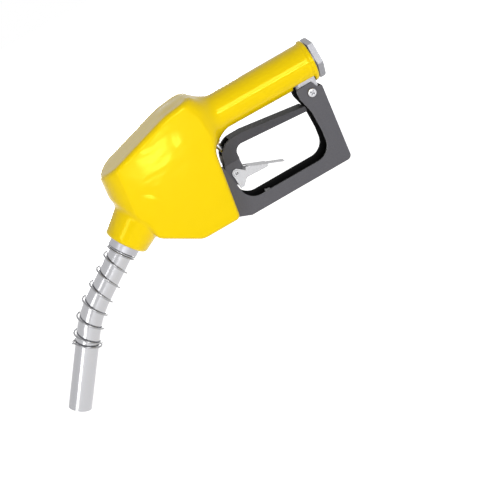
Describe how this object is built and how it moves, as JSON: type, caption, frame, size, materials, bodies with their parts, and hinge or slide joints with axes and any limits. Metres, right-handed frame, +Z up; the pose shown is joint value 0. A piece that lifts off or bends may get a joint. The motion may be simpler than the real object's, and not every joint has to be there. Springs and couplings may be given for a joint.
{
  "type": "fuel nozzle",
  "caption": "Automatic shut-off fuel hand nozzle with bent spout, squeeze lever, hold-open clip and guard.",
  "frame": {"origin": "centre of the threaded inlet's mouth, at the outer face of the hex", "axes": "+X out of the inlet along the handle, toward the hose; -X toward the spout; +Z up, away from the lever; Y across, symmetric"},
  "size_m": [0.3797, 0.055, 0.2317],
  "materials": {
    "cast_aluminium": "sand-cast, machined at the hex",
    "vinyl": "glossy yellow vinyl moulding",
    "guard_paint": "dark grey paint, black inside the channel",
    "lever_plastic": "black moulded nylon",
    "zinc_steel": "zinc-plated sheet",
    "yellow_zinc": "yellow zinc-plated steel",
    "stainless": "stainless",
    "spout_aluminium": "turned and brushed",
    "brass": "turned",
    "spring_steel": "drawn wire",
    "rubber": "fuel-proof rubber",
    "acetal": "moulded acetal"
  },
  "bodies": {
    "nozzle_body": {"body_casting": "cast_aluminium", "scuff_cover": "vinyl", "lever_guard": "guard_paint", "hold_open_rack": "zinc_steel", "guard_rear_screw": "stainless", "guard_rear_nut": "stainless", "guard_front_screws": "stainless", "valve_seat_ring": "brass", "poppet_spring": "spring_steel", "poppet_cap": "cast_aluminium", "poppet_cap_o_ring": "rubber", "packing_gland": "brass", "stem_packing": "rubber", "plunger_guide": "brass", "latch_sleeve": "stainless", "plunger_spring": "spring_steel", "diaphragm": "rubber", "diaphragm_cap": "cast_aluminium", "diaphragm_cap_screws": "stainless", "diaphragm_spring": "spring_steel", "access_cap": "cast_aluminium", "spout_collar": "spout_aluminium", "collar_o_ring": "rubber", "spout_lock_screw": "stainless", "spout_tube": "spout_aluminium", "spout_spring": "spring_steel", "sensing_port": "brass", "vacuum_tube": "stainless", "check_valve_seat": "brass", "check_valve_guide": "acetal", "check_valve_spring": "spring_steel"},
    "plunger": {"latch_plunger": "yellow_zinc", "lever_pin": "yellow_zinc"},
    "lever": {"lever_core": "guard_paint", "lever_cover": "lever_plastic", "clip_rivet": "zinc_steel", "clip_spring": "spring_steel"},
    "clip": {"hold_open_clip": "zinc_steel"},
    "main_valve": {"main_stem": "stainless", "main_poppet": "brass", "poppet_disc": "rubber"},
    "pin": {"latch_pin": "stainless"},
    "ball_1": {"latch_ball_1": "stainless"},
    "ball_2": {"latch_ball_2": "stainless"},
    "ball_3": {"latch_ball_3": "stainless"},
    "outlet_valve": {"check_valve": "brass"}
  },
  "joints": [
    {"name": "latch_trip", "type": "slide", "parent": "nozzle_body", "child": "plunger", "axis": [0.6428, 0, -0.766], "range_m": [0, 0.006], "stiffness_N_per_m": 1500, "springref_m": -0.006, "deforming": ["plunger_spring"]},
    {"name": "lever_squeeze", "type": "hinge", "parent": "plunger", "child": "lever", "pos_m": [-0.131, 0, -0.068], "axis": [0, -1, 0], "range_deg": [0, 9], "stiffness_Nm_per_rad": 4, "springref_deg": -5.73, "deforming": ["clip_spring"]},
    {"name": "clip_swing", "type": "hinge", "parent": "lever", "child": "clip", "pos_m": [-0.1221, 0, -0.0615], "axis": [0, 1, 0], "range_deg": [0, 25], "stiffness_Nm_per_rad": 0.02, "springref_deg": -28.65},
    {"name": "main_valve_lift", "type": "slide", "parent": "nozzle_body", "child": "main_valve", "axis": [-0.3746, 0, 0.9272], "range_m": [0, 0.0035], "deforming": ["poppet_spring"]},
    {"name": "latch_pin_lift", "type": "slide", "parent": "nozzle_body", "child": "pin", "axis": [-0.6428, 0, 0.766], "range_m": [0, 0.003], "deforming": ["diaphragm", "diaphragm_spring"]},
    {"name": "outlet_valve_open", "type": "slide", "parent": "nozzle_body", "child": "outlet_valve", "axis": [-0.8161, 0, -0.5779], "range_m": [0, 0.004], "stiffness_N_per_m": 300, "springref_m": -0.002, "deforming": ["check_valve_spring"]},
    {"name": "ball_1_release", "type": "slide", "parent": "plunger", "child": "ball_1", "axis": [0, -1, 0], "range_m": [0, 0.00105]},
    {"name": "ball_2_release", "type": "slide", "parent": "plunger", "child": "ball_2", "axis": [0.6634, 0.5, 0.5567], "range_m": [0, 0.00105]},
    {"name": "ball_3_release", "type": "slide", "parent": "plunger", "child": "ball_3", "axis": [-0.6634, 0.5, -0.5567], "range_m": [0, 0.00105]}
  ],
  "couplings": [
    {"joint": "main_valve_lift", "follows": "lever_squeeze", "m_per_rad": 0.022281},
    {"joint": "latch_pin_lift", "follows": "latch_trip", "ratio": 0.5},
    {"joint": "ball_1_release", "follows": "latch_trip", "ratio": 0.175},
    {"joint": "ball_2_release", "follows": "latch_trip", "ratio": 0.175},
    {"joint": "ball_3_release", "follows": "latch_trip", "ratio": 0.175}
  ]
}
